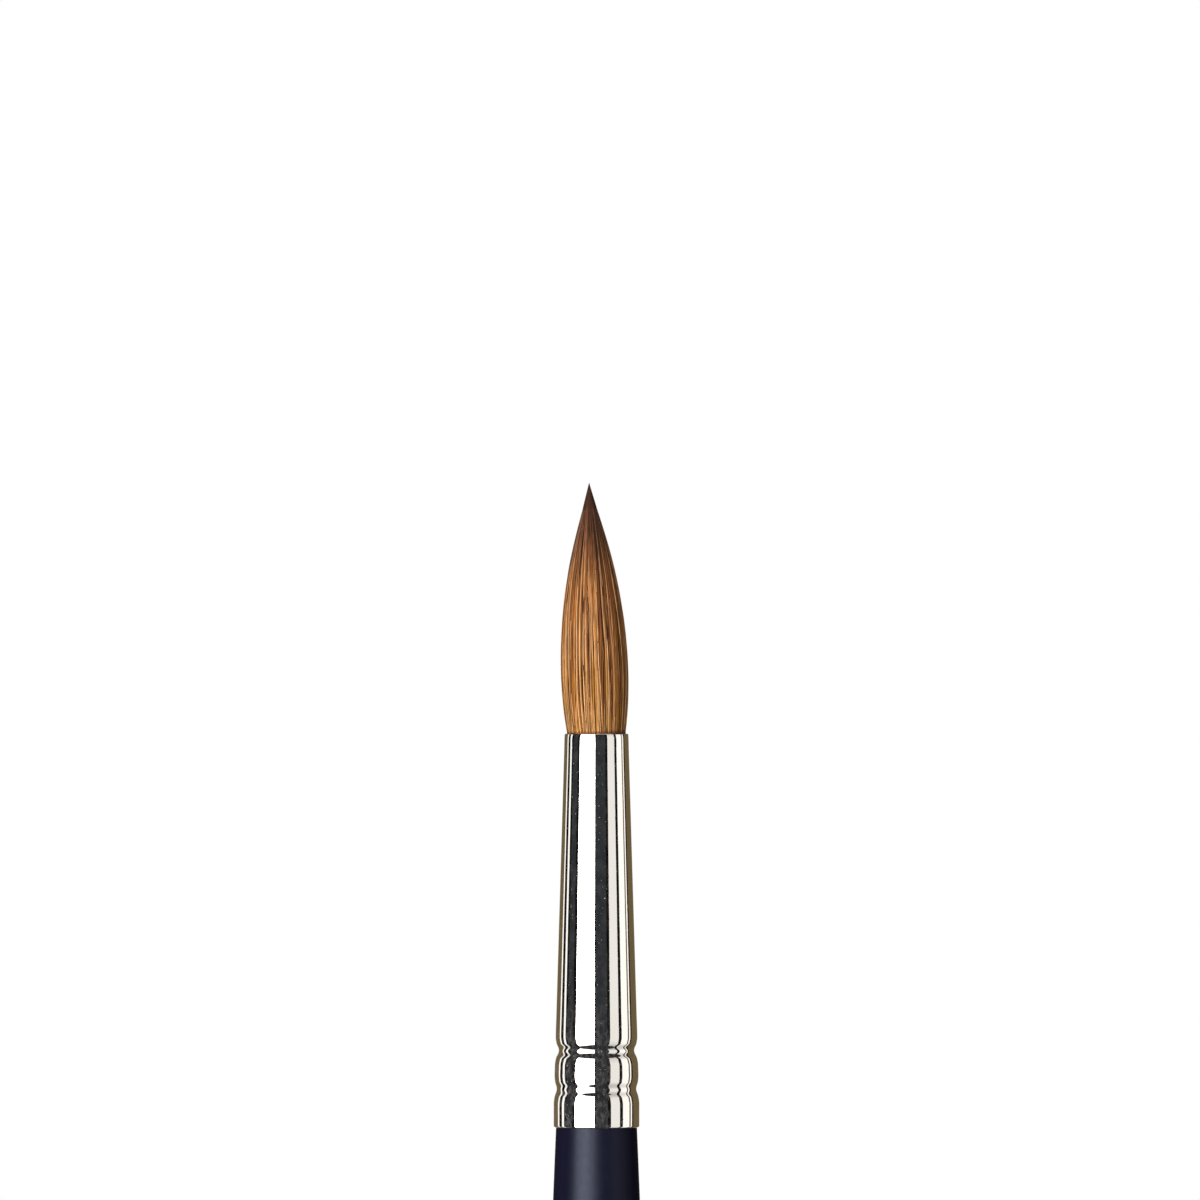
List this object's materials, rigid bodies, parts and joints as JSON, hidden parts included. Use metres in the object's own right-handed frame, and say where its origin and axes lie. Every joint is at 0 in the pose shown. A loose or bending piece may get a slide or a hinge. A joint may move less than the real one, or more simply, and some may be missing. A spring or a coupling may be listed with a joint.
{
  "type": "pointed round paint brush",
  "caption": "Pointed round brush with a natural-hair tuft, a crimped nickel-plated ferrule and a dark lacquered wooden handle, for detail painting.",
  "frame": {"origin": "on the brush's axis where the ferrule's straight base band starts, just above its turned-in lower edge", "axes": "+Z along the brush's axis towards the point of the hair; +X and +Y square to it, with the tuft leaning a little towards -X and bending about Y"},
  "size_m": [0.0094, 0.0094, 0.2095],
  "materials": {
    "handle_wood": "turned and sanded beech",
    "base_coat": "matt filler and primer",
    "navy_lacquer": "satin, very dark navy",
    "tenon_glue": "hard clear yellow glue",
    "nickel_plate": "bright nickel plating with fine scratches",
    "root_cement": "amber resin",
    "root_thread": "waxed thread",
    "hair_golden": "golden orange natural hair",
    "hair_brown": "brown natural hair, darker to the tip"
  },
  "bodies": {
    "handle": {"handle_core": "handle_wood", "base_coat": "base_coat", "lacquer_coat": "navy_lacquer", "tenon_glue": "tenon_glue", "ferrule": "nickel_plate", "root_cement": "root_cement", "root_thread": "root_thread", "hair_roots": "hair_golden", "flex_hairs_low": "hair_golden"},
    "belly": {"hair_belly": "hair_golden", "flex_hairs_high": "hair_brown"},
    "point": {"hair_point": "hair_brown"}
  },
  "joints": [
    {"name": "belly_flex", "type": "hinge", "parent": "handle", "child": "belly", "pos_m": [-0.00008, 0, 0.0418], "axis": [0, 1, 0], "range_deg": [-25, 25], "stiffness_Nm_per_rad": 0.002, "deforming": ["flex_hairs_low"]},
    {"name": "point_flex", "type": "hinge", "parent": "belly", "child": "point", "pos_m": [-0.00042, 0, 0.05319], "axis": [0, 1, 0], "range_deg": [-35, 35], "stiffness_Nm_per_rad": 0.0005, "deforming": ["flex_hairs_high"]}
  ]
}
